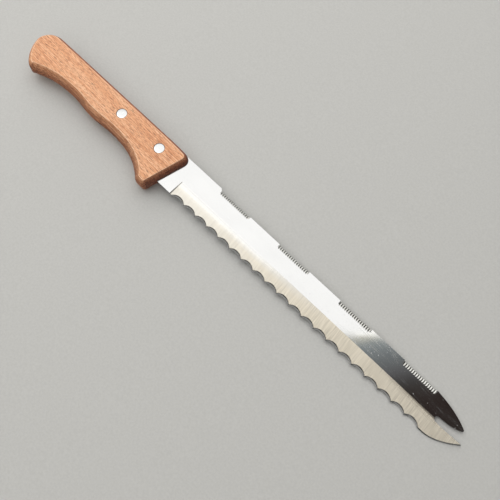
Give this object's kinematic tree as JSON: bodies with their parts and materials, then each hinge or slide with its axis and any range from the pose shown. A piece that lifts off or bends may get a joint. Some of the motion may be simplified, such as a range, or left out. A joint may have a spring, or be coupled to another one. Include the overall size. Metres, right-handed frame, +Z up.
{
  "type": "frozen food knife",
  "caption": "Long saw-backed kitchen knife with a scalloped cutting edge, a forked tip for lifting slices and a riveted contoured wooden handle.",
  "frame": {"origin": "on the flat underside of the handle, midway between the two rivets", "axes": "the knife lies on its left side; +X runs along the blade to the tip, +Y to the spine, +Z up out of the right side"},
  "size_m": [0.3682, 0.0345, 0.013],
  "materials": {
    "blade_steel": "mirror polished above, ground across the width below",
    "handle_wood": "sanded, open pored, lightly oiled",
    "rivet_metal": "polished flush with the wood"
  },
  "bodies": {
    "root": {"blade": "blade_steel", "handle": "handle_wood", "rivet_front_socket": "rivet_metal", "rivet_front_pin": "rivet_metal", "rivet_rear_socket": "rivet_metal", "rivet_rear_pin": "rivet_metal"}
  },
  "joints": []
}
